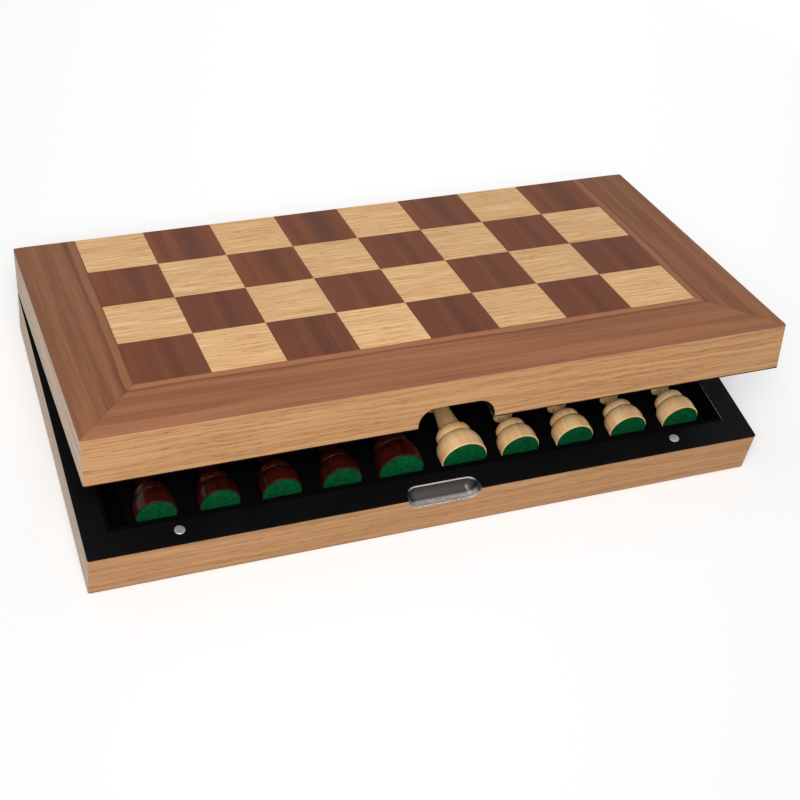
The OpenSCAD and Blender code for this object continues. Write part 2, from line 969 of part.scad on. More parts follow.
base_front_wall();
base_back_wall();
base_left_wall();
base_right_wall();
base_panel();
base_border_front();
base_border_left();
base_border_right();
base_light_squares();
base_dark_squares();
base_rim_lining();
base_insert();
base_finger_cup();
base_magnets();
lid_front_wall();
lid_back_wall();
lid_left_wall();
lid_right_wall();
lid_panel();
lid_border_front();
lid_border_left();
lid_border_right();
lid_light_squares();
lid_dark_squares();
lid_rim_lining();
lid_lining();
lid_magnets();
left_hinge_base_leaf();
left_hinge_lid_leaf();
left_hinge_pin();
right_hinge_base_leaf();
right_hinge_lid_leaf();
right_hinge_pin();
base_hinge_screws();
lid_hinge_screws();
dark_king();
dark_queen();
dark_bishop_inner();
dark_bishop_outer();
dark_knight_inner();
dark_knight_outer();
dark_rook_inner();
dark_rook_outer();
dark_pawns();
dark_felts();
light_king();
light_queen();
light_bishop_inner();
light_bishop_outer();
light_knight_inner();
light_knight_outer();
light_rook_inner();
light_rook_outer();
light_pawns();
light_felts();
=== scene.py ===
"""Folding chess board box, lid ajar, with its chessmen lying in the insert.

Both halves are dressed as the base lies, and the lid's pieces are then turned into place with LID.
Woods read three attributes of a piece: "grain" (metres along the grain, across it, and into the
wood), "shade" (how much lighter or darker that board is than its neighbours) and "stain" (1 where
the wood is blackened).
"""

import json
import math
import random

import bmesh
import bpy
from mathutils import Matrix, Vector


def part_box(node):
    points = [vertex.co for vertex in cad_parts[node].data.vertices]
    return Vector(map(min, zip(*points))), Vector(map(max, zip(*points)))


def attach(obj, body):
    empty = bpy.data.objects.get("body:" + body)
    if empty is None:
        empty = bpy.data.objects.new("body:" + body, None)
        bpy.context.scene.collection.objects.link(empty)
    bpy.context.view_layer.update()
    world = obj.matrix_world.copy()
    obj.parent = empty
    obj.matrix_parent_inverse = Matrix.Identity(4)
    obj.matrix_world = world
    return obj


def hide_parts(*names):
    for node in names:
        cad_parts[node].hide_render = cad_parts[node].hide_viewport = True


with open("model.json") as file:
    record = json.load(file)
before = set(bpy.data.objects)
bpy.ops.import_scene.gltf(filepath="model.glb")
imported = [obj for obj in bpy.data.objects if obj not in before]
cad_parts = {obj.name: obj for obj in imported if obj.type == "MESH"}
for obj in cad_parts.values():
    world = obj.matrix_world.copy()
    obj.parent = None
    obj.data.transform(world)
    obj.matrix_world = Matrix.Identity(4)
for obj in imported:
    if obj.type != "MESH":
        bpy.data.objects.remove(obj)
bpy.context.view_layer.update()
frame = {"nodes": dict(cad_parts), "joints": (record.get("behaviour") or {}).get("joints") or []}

MM = 0.001
HALVES = ("base", "lid")
FLAT = math.radians(1.0)        # faces closer than this in angle are one face
SHARP = math.radians(35.0)      # an edge sharper than this stays crisp
CORNER = math.radians(60.0)     # a corner sharper than this is eased
WELD = 0.002 * MM               # vertices closer than this are one vertex
WELD_TURNED_MM = 0.004          # the same for the men, which are turned in millimetres

# ------------------------------------------------------------------ places, from the frame

JOINT = frame["joints"][0]
HINGE = Vector(JOINT["pos_m"])
REST_ANGLE = math.radians(-JOINT["range_deg"][0])
LID = (Matrix.Translation(HINGE) @ Matrix.Rotation(-REST_ANGLE, 4, "X")
       @ Matrix.Diagonal((1, 1, -1, 1)) @ Matrix.Translation(-HINGE))

WALL_LOW, WALL_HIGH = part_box("base_front_wall")
BORDER_LOW, BORDER_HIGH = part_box("base_border_front")
SQUARES_LOW, SQUARES_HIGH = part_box("base_light_squares")
FRONT_Y, SIDE_X = WALL_LOW.y, WALL_HIGH.x
FIELD_FRONT_Y, FIELD_X = SQUARES_LOW.y, SQUARES_HIGH.x
RIM_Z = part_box("base_rim_lining")[1].z
INSERT_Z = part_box("base_insert")[1].z


# ------------------------------------------------------------------ node trees

def colour(code):
    """Linear colour of an sRGB hex code."""
    channels = [int(code[i:i + 2], 16) / 255 for i in (0, 2, 4)]
    return [c / 12.92 if c <= 0.04045 else ((c + 0.055) / 1.055) ** 2.4 for c in channels] + [1.0]


class Tree:
    """The nodes of a material or a world. Every method returns what the next step reads."""

    def __init__(self, name, kinds=None):
        self.material = (bpy.data.materials if kinds is None else kinds).new(name)
        self.material.use_nodes = True
        self.tree = self.material.node_tree
        self.tree.nodes.clear()

    def add(self, kind, inputs=(), **settings):
        """A node with its settings; an input is linked if it is a socket, and set if it is not."""
        node = self.tree.nodes.new(kind)
        for key, value in settings.items():
            setattr(node, key, value)
        for key, value in dict(inputs).items():
            if isinstance(value, bpy.types.NodeSocket):
                self.tree.links.new(value, node.inputs[key])
            else:
                node.inputs[key].default_value = value
        return node

    def attribute(self, name, output):
        return self.add("ShaderNodeAttribute", attribute_name=name).outputs[output]

    def object_place(self):
        return self.add("ShaderNodeTexCoord").outputs["Object"]

    def maths(self, operation, *values):
        return self.add("ShaderNodeMath", dict(enumerate(values)), operation=operation).outputs[0]

    def grade(self, value, low, high, to_low=0.0, to_high=1.0):
        """Smooth step: to_low up to low, and to_high from high on."""
        return self.add("ShaderNodeMapRange", {"Value": value, "From Min": low, "From Max": high,
                        "To Min": to_low, "To Max": to_high},
                        interpolation_type="SMOOTHSTEP").outputs[0]

    def mix(self, factor, a, b, blend_type="MIX"):
        """Two colours mixed; a colour mix has its colours at inputs 6 and 7 and output 2."""
        return self.add("ShaderNodeMix", {0: factor, 6: a, 7: b}, data_type="RGBA",
                        blend_type=blend_type).outputs[2]

    def streaks(self, place, along, across, detail=1.0, shift=0.0):
        """Noise with its spots drawn out: along and across are their sizes in millimetres."""
        size = Vector((1 / along, 1 / across, 1 / across)) / MM
        mapped = self.add("ShaderNodeMapping", {"Vector": place, "Scale": size,
                          "Location": (shift, shift, shift)}).outputs[0]
        return self.add("ShaderNodeTexNoise", {"Vector": mapped, "Scale": 1.0, "Detail": detail,
                        "Roughness": 0.55}).outputs[0]

    def finish(self, bump, bump_mm, **inputs):
        """Closes the tree with one Principled shader; names have spaces for underscores."""
        values = {key.replace("_", " "): value for key, value in inputs.items()}
        values["Normal"] = self.add("ShaderNodeBump", {"Height": bump, "Strength": 1.0,
                                    "Distance": bump_mm * MM}).outputs[0]
        shader = self.add("ShaderNodeBsdfPrincipled", values)
        self.add("ShaderNodeOutputMaterial", {"Surface": shader.outputs[0]})
        return self.material


# ------------------------------------------------------------------ finishes

# How much one step of shade lightens a wood
OAK_STEP, WALNUT_STEP, TURNED_STEP = 0.06, 0.07, 0.05
# Near-black colour given to the faces inside the notches
NOTCH_BLACK = "120F0D"
BAND_TONE = "A86F4C"
ARRIS_SHEEN = "7E574B"       # painted sheen on the border's eased outer edge, greyer than the walnut
METAL_WEAR = 0.06
# Where the middle of each dark square lies across its leaf, and the darker heart beside it
LEAF_MIDDLE, HEART_PLACE = 0.31, 0.314


def wavy_place(t, place, sway_mm, ripple_mm, shift):
    """A place in the wood, swayed across the grain so that the streaks wander and ripple."""
    sway = t.maths("SUBTRACT", t.streaks(place, 70, 22, detail=2, shift=shift), 0.5)
    ripple = t.maths("SUBTRACT", t.streaks(place, 11, 8, detail=1, shift=shift + 9), 0.5)
    ripple = t.maths("MULTIPLY", ripple, ripple_mm * MM)
    sway = t.maths("MULTIPLY_ADD", sway, sway_mm * MM, ripple)
    offset = t.add("ShaderNodeCombineXYZ", {"Y": sway}).outputs[0]
    return t.add("ShaderNodeVectorMath", {0: place, 1: offset}, operation="ADD").outputs[0]


def shaded(t, tone, strength):
    """Darkens or lightens a board by its own shade."""
    shade = t.maths("MULTIPLY_ADD", t.attribute("shade", "Fac"), strength, 1.0)
    grey = t.add("ShaderNodeCombineColor", {0: shade, 1: shade, 2: shade}).outputs[0]
    return t.mix(1.0, tone, grey, "MULTIPLY")


def oak(name, pale, deep, pore, line, pore_depth, sway_mm=5.0, ripple_mm=1.5, gloss=0.12,
        along_x=False):
    """Open-grained oak: soft growth lines, (length, width) in millimetres, with short dark
    pores strung along them. The grain follows the attribute, or X on a CAD node."""
    t = Tree(name)
    place = t.object_place() if along_x else t.attribute("grain", "Vector")
    place = wavy_place(t, place, sway_mm, ripple_mm, 3.1)
    lines = t.streaks(place, line[0], line[1], detail=2)
    cloud = t.streaks(place, 180, 14, detail=1, shift=7.7)
    pores = t.grade(t.streaks(place, 6.5, 0.55, detail=1, shift=1.9), 0.50, 0.68)
    rows = t.grade(lines, 0.40, 0.60)
    pores = t.maths("MULTIPLY", pores, t.maths("MULTIPLY_ADD", rows, 0.8, 0.2))
    tone = t.mix(t.grade(lines, 0.34, 0.66), colour(pale), colour(deep))
    tone = t.mix(t.grade(cloud, 0.35, 0.7, 0.0, 0.35), tone, colour(deep))
    tone = t.mix(t.maths("MULTIPLY", pores, pore_depth), tone, colour(pore))
    # Faces marked by the attribute, inside the notches, are coloured near-black
    tone = t.mix(t.attribute("notch_dark", "Fac"), tone, colour(NOTCH_BLACK))
    rough = t.maths("MULTIPLY_ADD", pores, 0.2, 0.46)
    height = t.maths("SUBTRACT", t.maths("MULTIPLY", lines, 0.3), pores)
    return t.finish(Base_Color=shaded(t, tone, OAK_STEP), Roughness=rough,
                    Specular_IOR_Level=gloss, bump=height, bump_mm=0.05)


def walnut(name, pale, deep, streak, fine_depth, band=False, heart=False):
    """Close-grained walnut: broad soft streaks and fine dark lines. A border strip also has a
    lighter band along its inner edge with a dark line beside it, and a painted sheen on its eased
    outer edge. A dark square has a darker heart."""
    t = Tree(name)
    place = wavy_place(t, t.attribute("grain", "Vector"), 4.0, 0.6, 5.3)
    broad = t.streaks(place, 190, 8, detail=2, shift=2.2)
    fine = t.streaks(place, 60, 0.9, detail=2, shift=4.4)
    pores = t.grade(t.streaks(place, 7, 0.42, detail=0.5, shift=6.1), 0.58, 0.72)
    _, across, into = t.add("ShaderNodeSeparateXYZ", {0: place}).outputs
    tone = t.mix(t.grade(broad, 0.33, 0.66), colour(pale), colour(deep))
    if heart:
        off = t.maths("ABSOLUTE", t.maths("SUBTRACT", across, HEART_PLACE))
        tone = t.mix(t.grade(off, 1.0 * MM, 9.0 * MM, 0.6, 0.0), tone, colour(streak))
    tone = t.mix(t.grade(fine, 0.42, 0.66, 0.0, fine_depth), tone, colour(streak))
    tone = t.mix(t.maths("MULTIPLY", pores, 0.6 * fine_depth), tone, colour(streak))
    if band:
        tone = t.mix(t.grade(across, 4.4 * MM, 5.4 * MM, 0.75, 0.0), tone, colour(BAND_TONE))
        line = t.maths("MULTIPLY", t.grade(across, 4.6 * MM, 5.6 * MM),
                       t.grade(across, 5.9 * MM, 8.2 * MM, 0.5, 0.0))
        tone = t.mix(line, tone, colour(streak))
        tone = t.mix(t.grade(across, 0.0, 1.6 * MM, 0.5, 0.0), tone, colour(streak))
        # Painted sheen: the eased outer edge turns greyer, as if it reflected the white room
        tone = t.mix(t.grade(into, 0.02 * MM, 0.12 * MM, 0.0, 0.6), tone, colour(ARRIS_SHEEN))
    height = t.maths("SUBTRACT", t.maths("MULTIPLY", fine, 0.5), pores)
    return t.finish(Base_Color=shaded(t, tone, WALNUT_STEP), Specular_IOR_Level=0.1,
                    Roughness=t.grade(fine, 0.3, 0.7, 0.42, 0.5), bump=height, bump_mm=0.03)


def turned_wood(name, pale, deep, streak_depth, rough, coat, coat_rough, gloss):
    """Wood of a turned man: fine lines along its axis under oil or lacquer."""
    t = Tree(name)
    place = t.attribute("grain", "Vector")
    broad = t.streaks(place, 40, 5, detail=2)
    fine = t.streaks(place, 22, 0.7, detail=1, shift=3.3)
    tone = t.mix(t.grade(broad, 0.35, 0.68), colour(pale), colour(deep))
    tone = t.mix(t.grade(fine, 0.5, 0.72, 0.0, streak_depth), tone, colour(deep))
    return t.finish(Base_Color=shaded(t, tone, TURNED_STEP), Roughness=rough, Coat_Weight=coat,
                    Coat_Roughness=coat_rough, Specular_IOR_Level=gloss, bump=fine, bump_mm=0.02)


def leathercloth(name):
    """Black covering of the rims, with a fine pebbled surface."""
    t = Tree(name)
    place = t.object_place()
    pebbles = t.add("ShaderNodeTexVoronoi", {"Vector": place, "Scale": 1 / (0.9 * MM)}).outputs[0]
    cloud = t.streaks(place, 25, 25, detail=2)
    tone = t.mix(cloud, colour("080808"), colour("100E0F"))
    return t.finish(Base_Color=tone, Roughness=t.grade(cloud, 0.3, 0.7, 0.5, 0.62), bump=pebbles,
                    bump_mm=0.02, Specular_IOR_Level=0.06)


def velvet(name, low, high):
    """Black flocked surface: hardly any gloss, and patches where the pile lies over."""
    t = Tree(name)
    place = t.object_place()
    pile = t.streaks(place, 0.5, 0.5, detail=2)
    patches = t.streaks(place, 16, 16, detail=3, shift=5.0)
    tone = t.mix(patches, colour(low), colour(high))
    tone = t.mix(t.grade(pile, 0.45, 0.75, 0.0, 0.5), tone, colour(high))
    return t.finish(Base_Color=tone, Roughness=0.95, bump=pile, bump_mm=0.10,
                    Specular_IOR_Level=0.03)


def felt(name):
    """Green baize with short fibres lying every way."""
    t = Tree(name)
    place = t.object_place()
    fibres = t.streaks(place, 0.35, 0.35, detail=3)
    tufts = t.streaks(place, 2.6, 2.6, detail=2, shift=4.0)
    tone = t.mix(t.grade(tufts, 0.35, 0.7), colour("05582F"), colour("034223"))
    tone = t.mix(t.grade(fibres, 0.5, 0.72, 0.0, 0.35), tone, colour("1B7A48"))
    return t.finish(Base_Color=tone, Roughness=0.95, bump=fibres, bump_mm=0.12,
                    Specular_IOR_Level=0.05)


def metal(name, tone, rough, brushed_mm):
    """Solid metal with fine brushing along X and a little cloudy wear."""
    t = Tree(name)
    place = t.object_place()
    brushing = t.streaks(place, brushed_mm * 30, brushed_mm, detail=2)
    cloud = t.streaks(place, 6, 6, detail=3, shift=2.0)
    dark = [c * (1 - 3 * METAL_WEAR) for c in colour(tone)[:3]] + [1.0]
    return t.finish(Base_Color=t.mix(cloud, colour(tone), dark), Metallic=1.0,
                    Roughness=t.grade(cloud, 0.3, 0.7, rough - METAL_WEAR, rough + METAL_WEAR),
                    bump=brushing, bump_mm=0.006)


def cup_metal(name, dark, bright):
    """Pressed metal with a dark tone that stands in for the dark it reflects, and painted
    highlights along its front lip and its rear upper edge.
    """
    t = Tree(name)
    place = t.object_place()
    mottle = t.streaks(place, 1.6, 0.9, detail=3)
    _, y, z = t.add("ShaderNodeSeparateXYZ", {0: place}).outputs
    from_front = t.maths("MULTIPLY_ADD", mottle, 4.0 * MM, t.maths("SUBTRACT", y, FRONT_Y))
    # Painted highlight on the front of the cup's floor, broken up by the mottle
    lip = t.maths("MULTIPLY", t.grade(from_front, 4.5 * MM, 7.0 * MM, 1.0, 0.0),
                  t.grade(z, RIM_Z - 5.0 * MM, RIM_Z - 2.5 * MM, 1.0, 0.25))
    # Painted highlight along the top of the back wall
    edge = t.maths("MULTIPLY", t.grade(z, RIM_Z - 0.7 * MM, RIM_Z - 0.35 * MM),
                   t.grade(y, FRONT_Y + 5.5 * MM, FRONT_Y + 8.5 * MM))
    painted_highlight = t.maths("MAXIMUM", t.maths("MULTIPLY", lip, t.grade(mottle, 0.3, 0.7, 0.45, 1.0)),
                     edge)
    # Where a highlight is painted the metal turns brighter and less metallic
    return t.finish(Base_Color=t.mix(painted_highlight, colour(dark), colour(bright)),
                    Metallic=t.maths("MULTIPLY_ADD", painted_highlight, -0.6, 1.0),
                    Roughness=t.grade(mottle, 0.3, 0.7, 0.34, 0.46), bump=mottle, bump_mm=0.02)


HONEY_OAK = oak("honey oak", "C7986B", "B38357", "82532E", (60, 1.4), 0.42)
# The side walls' oak is paler and greyer: a painted sheen, the white room reflected at a glancing
# angle
SIDE_SHEEN_OAK = oak("side oak with painted sheen", "D0B295", "BA9A7F", "967457", (70, 1.7), 0.40, gloss=0.3)
SQUARE_OAK = oak("light squares oak", "F6CE99", "DBA772", "96643A", (38, 0.95), 0.46, 4.0, 1.3)
CORE_BOARD = oak("core board", "C7AE8C", "B89B78", "977650", (120, 4.0), 0.3, along_x=True)
BORDER_WALNUT = walnut("border walnut", "A36C4A", "8E5B3D", "613827", 0.28, band=True)
SQUARE_WALNUT = walnut("dark squares walnut", "82492D", "703F29", "532D1F", 0.18, heart=True)
RIM_BLACK = leathercloth("black leathercloth")
INSERT_BLACK = velvet("black velvet", "030303", "0A0909")
LINING_BLACK = velvet("black lining cloth", "080708", "121112")
GREEN_FELT = felt("green felt")
LACQUER = turned_wood("red brown lacquer", "42120A", "280A05", 0.5, rough=0.36, coat=0.14,
                      coat_rough=0.12, gloss=0.12)
BOXWOOD = turned_wood("boxwood", "FFD8A1", "F6BD7F", 0.35, rough=0.42, coat=0.12,
                      coat_rough=0.22, gloss=0.25)
# A dark tone standing in for reflected dark, and the colour of the painted highlights
SATIN_METAL = cup_metal("satin metal", "454240", "D2CEC8")
NICKEL = metal("nickel", "E4E1DB", rough=0.55, brushed_mm=0.08)
BRASS = metal("brass", "B8934F", rough=0.30, brushed_mm=0.08)
SCREW_BRASS = metal("screw brass", "C9A763", rough=0.22, brushed_mm=0.06)
STEEL = metal("steel", "A9A9A8", rough=0.26, brushed_mm=0.08)


# ------------------------------------------------------------------ making pieces

def merged_copy(node, body="base"):
    """A copy of a CAD node with whole faces, laid as the base lies."""
    bm = bmesh.new()
    bm.from_mesh(frame["nodes"][node].data)
    bmesh.ops.remove_doubles(bm, verts=bm.verts, dist=WELD)
    if body == "lid":
        bmesh.ops.transform(bm, matrix=LID.inverted(), verts=bm.verts)
        bmesh.ops.reverse_faces(bm, faces=bm.faces)
    bmesh.ops.dissolve_limit(bm, angle_limit=FLAT, verts=bm.verts, edges=bm.edges)
    grain_layers(bm)
    return bm


def rounded(bm, edges, width, segments=2):
    """Bevels some edges of a mesh to a round."""
    bmesh.ops.bevel(bm, geom=edges, offset=width, offset_type="OFFSET", segments=segments,
                    affect="EDGES", profile=0.5, material=-1, clamp_overlap=True)


def ease(bm, width, chosen=lambda edge: True, segments=2):
    """Rounds the outward corners of a piece along the edges that chosen picks."""
    edges = [e for e in bm.edges
             if e.is_manifold and e.calc_face_angle_signed() > CORNER and chosen(e)]
    if edges:
        rounded(bm, edges, width, segments)


def islands(bm):
    """The separate solids of a mesh, as lists of vertices, in the same order every time."""
    found, reached = [], set()
    for first in bm.verts:
        if first in reached:
            continue
        reached.add(first)
        group = [first]
        for v in group:
            for near in (e.other_vert(v) for e in v.link_edges):
                if near not in reached:
                    reached.add(near)
                    group.append(near)
        found.append(group)
    return found


def corners(verts):
    """Lowest and highest corner of some vertices."""
    axes = list(zip(*(v.co for v in verts)))
    return Vector(map(min, axes)), Vector(map(max, axes))


def island_boxes(bm):
    """Lowest and highest corner of each solid, from the lowest X up."""
    return sorted((corners(verts) for verts in islands(bm)), key=lambda box: tuple(box[0]))


def grain_layers(bm):
    """The layers that hold a board's grain and shade."""
    vectors, numbers = bm.verts.layers.float_vector, bm.verts.layers.float
    return (vectors.get("grain") or vectors.new("grain"),
            numbers.get("shade") or numbers.new("shade"))


def lay_grain(bm, verts, order, along, shade):
    """Stores the grain's place and the shade: order gives (along, across, into) of a point, and
    along is how far along its plank the board was cut, in metres."""
    grain, tone = grain_layers(bm)
    for v in verts:
        v[grain] = Vector(order(v.co)) + Vector((along, 0, 0))
        v[tone] = shade


def finished(name, bm, finish, body, node, smooth=True):
    """Turns a mesh, laid as the base lies, into the piece that stands for a CAD node. A piece of
    the lid is turned into its place."""
    if body == "lid":
        bmesh.ops.transform(bm, matrix=LID, verts=bm.verts)
        bmesh.ops.reverse_faces(bm, faces=bm.faces)
    mesh = bpy.data.meshes.new(name)
    for face in bm.faces:
        face.smooth = smooth
    bm.to_mesh(mesh)
    bm.free()
    if smooth:
        mesh.set_sharp_from_angle(angle=SHARP)
    piece = bpy.data.objects.new(name, mesh)
    bpy.context.scene.collection.objects.link(piece)
    mesh.materials.append(finish)
    if smooth:
        weighted = piece.modifiers.new("even shading", "WEIGHTED_NORMAL")
        weighted.keep_sharp = True
    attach(piece, body)
    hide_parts(node)


def keep(node, finish):
    """A CAD node whose shape is right gets its finish."""
    mesh = frame["nodes"][node].data
    mesh.materials.clear()
    mesh.materials.append(finish)


# ------------------------------------------------------------------ the two halves

# How far each kind of edge is eased
BORDER_EASE, NOTCH_EASE, RIM_EASE, MAGNET_EASE = 0.7 * MM, 0.4 * MM, 0.25 * MM, 0.35 * MM
INSERT_EASE, CUP_EASE, FELT_EASE = 0.6 * MM, 0.25 * MM, 0.2 * MM
LEAF_EASE, PIN_EASE = 0.15 * MM, 0.2 * MM
# Half the width and the depth of the cut that is blackened, and a looser box about its edges
NOTCH_HALF, NOTCH_DEPTH = 22.4 * MM, 12.5 * MM
NOTCH_BOX_HALF, NOTCH_BOX_LOW = 30 * MM, 12 * MM
# How many metres of veneer the squares are cut from
LIGHT_LEAF, DARK_LEAF = 40.0, 0.09


def on_outline(edge):
    """The arris of the playing face: on its outer outline, at the height of the face, and neither
    a mitre nor the edge at the hinges."""
    a, b = (v.co for v in edge.verts)
    low = all(abs(p.z - BORDER_LOW.z) < 0.01 * MM for p in (a, b))
    out = all(abs(p.x) > SIDE_X - 3 * MM or p.y < FRONT_Y + 3 * MM for p in (a, b))
    along_x, along_y = abs(a.x - b.x) > 5 * MM, abs(a.y - b.y) > 5 * MM
    behind = (a.y + b.y) / 2 > BORDER_HIGH.y + 1 * MM
    return low and out and not (along_x and (along_y or behind))


def border(half, side, along, shade):
    """One mitred strip of walnut, its outer arris eased."""
    node = f"{half}_border_{side}"
    bm = merged_copy(node, half)
    ease(bm, BORDER_EASE, on_outline, segments=3)
    if side == "front":
        lay_grain(bm, bm.verts, lambda p: (p.x, FIELD_FRONT_Y - p.y, p.z), along, shade)
    else:
        lay_grain(bm, bm.verts, lambda p: (p.y, abs(p.x) - FIELD_X, p.z), along, shade)
    finished(f"{half}_{side}_border_strip", bm, BORDER_WALNUT, half, node)


def squares(half, tint, finish, draws, turned):
    """The squares of one colour, each cut from its own place in the veneer. The turned ones,
    with the grain running to the hinges, come from one short leaf, so that they match."""
    node = f"{half}_{tint}_squares"
    bm = merged_copy(node, half)
    leaf = DARK_LEAF if turned else LIGHT_LEAF
    for solid in sorted(islands(bm), key=lambda vs: tuple(round(c, 4) for c in corners(vs)[0])):
        low, high = corners(solid)
        middle = (low.x + high.x) / 2
        if turned:
            order = lambda p: (p.y, LEAF_MIDDLE + p.x - middle, p.z)
        else:
            order = lambda p: (p.x, p.y, p.z)
        lay_grain(bm, solid, order, draws.uniform(0, leaf), draws.uniform(-1, 1))
    finished(f"{half}_{tint}_veneer_squares", bm, finish, half, node, smooth=False)


def notch_edge(edge):
    """An edge of the notch in either face of a wall, not one that runs through the wall."""
    a, b = (v.co for v in edge.verts)
    return (abs(a.y - b.y) < 0.1 * MM
            and all(abs(p.x) < NOTCH_BOX_HALF and p.z > NOTCH_BOX_LOW for p in (a, b)))


def wall(half, side, finish, along, shade):
    """One wall of a half. The notch through the front one has eased edges and is blackened."""
    node = f"{half}_{side}_wall"
    bm = merged_copy(node, half)
    ease(bm, NOTCH_EASE, notch_edge)
    if side in ("front", "back"):
        lay_grain(bm, bm.verts, lambda p: (p.x, p.z, p.y), along, shade)
    else:
        lay_grain(bm, bm.verts, lambda p: (p.y, p.z, p.x), along, shade)
    # Faces inside the notch of a front wall are marked to be coloured near-black
    notch_dark = bm.faces.layers.float.new("notch_dark")
    bm.normal_update()
    for face in bm.faces:
        middle = face.calc_center_median()
        inside = abs(middle.x) < NOTCH_HALF and RIM_Z - NOTCH_DEPTH < middle.z
        face[notch_dark] = float(side == "front" and inside and abs(face.normal.y) < 0.5)
    finished(f"{half}_{side}_board", bm, finish, half, node)


def rim(half):
    """Black covering of a half's rim, its edges just rolled over."""
    node = f"{half}_rim_lining"
    bm = merged_copy(node, half)
    ease(bm, RIM_EASE, lambda e: all(v.co.z > RIM_Z - 0.1 * MM for v in e.verts))
    finished(f"{half}_rim_cover", bm, RIM_BLACK, half, node)


def magnets(half):
    """The two round magnets in the front rim of a half."""
    node = f"{half}_magnets"
    bm = merged_copy(node, half)
    ease(bm, MAGNET_EASE, segments=3)
    finished(f"{half}_closing_magnets", bm, NICKEL, half, node)


def dress_half(half, along, draws):
    """Every wooden and black piece of a half. Its strips and walls are cut one after another
    along the plank."""
    for i, (side, shade) in enumerate((("front", 1.1), ("left", -2.8), ("right", -1.6))):
        border(half, side, along + 1.7 * i, shade + draws.uniform(-0.3, 0.3))
    squares(half, "light", SQUARE_OAK, draws, turned=False)
    squares(half, "dark", SQUARE_WALNUT, draws, turned=True)
    wall(half, "front", HONEY_OAK, along + 8.1, 0.0)
    wall(half, "back", HONEY_OAK, along + 11.4, -0.3)
    # The base's side walls are darker than the lid's: painted shade
    side_painted_shade = -1.2 if half == "base" else 0.0
    wall(half, "left", SIDE_SHEEN_OAK, along + 14.2, side_painted_shade)
    wall(half, "right", SIDE_SHEEN_OAK, along + 17.9, side_painted_shade + 0.2)
    rim(half)
    magnets(half)
    keep(f"{half}_panel", CORE_BOARD)


def insert():
    """Velvet-covered insert, the edges of its pockets rolled over."""
    bm = merged_copy("base_insert")
    ease(bm, INSERT_EASE, lambda e: all(v.co.z > INSERT_Z - 0.05 * MM for v in e.verts))
    finished("velvet_insert", bm, INSERT_BLACK, "base", "base_insert")


def finger_cup():
    """Pressed metal cup in the base's notch, its lip rounded."""
    bm = merged_copy("base_finger_cup")
    ease(bm, CUP_EASE)
    finished("finger_cup", bm, SATIN_METAL, "base", "base_finger_cup")


# ------------------------------------------------------------------ chessmen

# Length of each head with its collar, in millimetres
HEAD = {"king": 31, "queen": 25, "bishop": 21.5, "rook": 13}
COLLAR = 4.0
PAWN_HEAD_R = 5.8
FOOT_H, FOOT_TOP = 1.70, 0.51       # in base radii
STEM_HOLLOW = 1.6                   # how fast a stem narrows above its foot: 1 is a straight cone
TURNING_STEPS = 56
CROSS_EASE, TOOL_EASE, HORSE_EASE = 0.35, 0.1, 1.6


def bead(r, z, out, half_height, start=-90, end=90, steps=6):
    """Rounded ring: an ellipse about (r, z) that stands out from it."""
    angles = [math.radians(start + (end - start) * i / steps) for i in range(steps + 1)]
    return [(r + out * math.cos(a), z + half_height * math.sin(a)) for a in angles]


def bend(start, middle, end, steps=6):
    """Hollow or swelling curve from start to end, drawn towards middle."""
    points = []
    for i in range(1, steps + 1):
        t = i / steps
        points.append(tuple((1 - t) ** 2 * a + 2 * t * (1 - t) * b + t * t * c
                            for a, b, c in zip(start, middle, end)))
    return points


def foot(r, felt_t):
    """Drum with a round shoulder, a quirk and a ring above it."""
    return ([(0, felt_t)] + bead(0.965 * r, felt_t + 0.035 * r, 0.035 * r, 0.035 * r, -90, 0, 3)
            + bead(0.72 * r, 0.50 * r, 0.28 * r, 0.62 * r, -14, 82, 14)
            + [(0.69 * r, 1.12 * r), (0.69 * r, 1.14 * r)]
            + bead(0.58 * r, 1.37 * r, 0.19 * r, 0.27 * r, -54, 78, 13)
            + bend((0.61 * r, 1.645 * r), (0.53 * r, 1.65 * r), (FOOT_TOP * r, FOOT_H * r), 4))


def stem(r, neck_r, neck_z):
    """Hollow stem from the top of the foot to the neck."""
    low, top_r, steps = FOOT_H * r, FOOT_TOP * r, 10
    return [(neck_r + (top_r - neck_r) * (1 - i / steps) ** STEM_HOLLOW,
             low + (neck_z - low) * i / steps) for i in range(1, steps + 1)]


def collar(r, z):
    """Two rings, the lower one wider."""
    return (bead(0.78 * r, z + 0.31 * COLLAR, 0.22 * r, 0.24 * COLLAR)
            + bead(0.70 * r, z + 0.78 * COLLAR, 0.16 * r, 0.16 * COLLAR))


def spun(profile):
    """Turns a profile, in millimetres from the axis and up along it, into a closed solid."""
    bm = bmesh.new()
    points = [bm.verts.new((r, 0, z)) for r, z in profile]
    edges = [bm.edges.new(pair) for pair in zip(points, points[1:])]
    bmesh.ops.spin(bm, geom=points + edges, axis=(0, 0, 1), cent=(0, 0, 0),
                   steps=TURNING_STEPS, angle=math.tau, use_merge=True)
    bmesh.ops.remove_doubles(bm, verts=bm.verts, dist=WELD_TURNED_MM)
    bmesh.ops.recalc_face_normals(bm, faces=bm.faces)
    return bm


def block(bm, size, centre, width):
    """Adds a small block with eased edges."""
    made = bmesh.ops.create_cube(bm, size=1.0)["verts"]
    bmesh.ops.scale(bm, vec=size, verts=made)
    bmesh.ops.translate(bm, vec=centre, verts=made)
    rounded(bm, [e for e in bm.edges if e.verts[0] in made], width)


# Each man stands on its felt at z = 0, with a base of radius r and a height of h, in millimetres

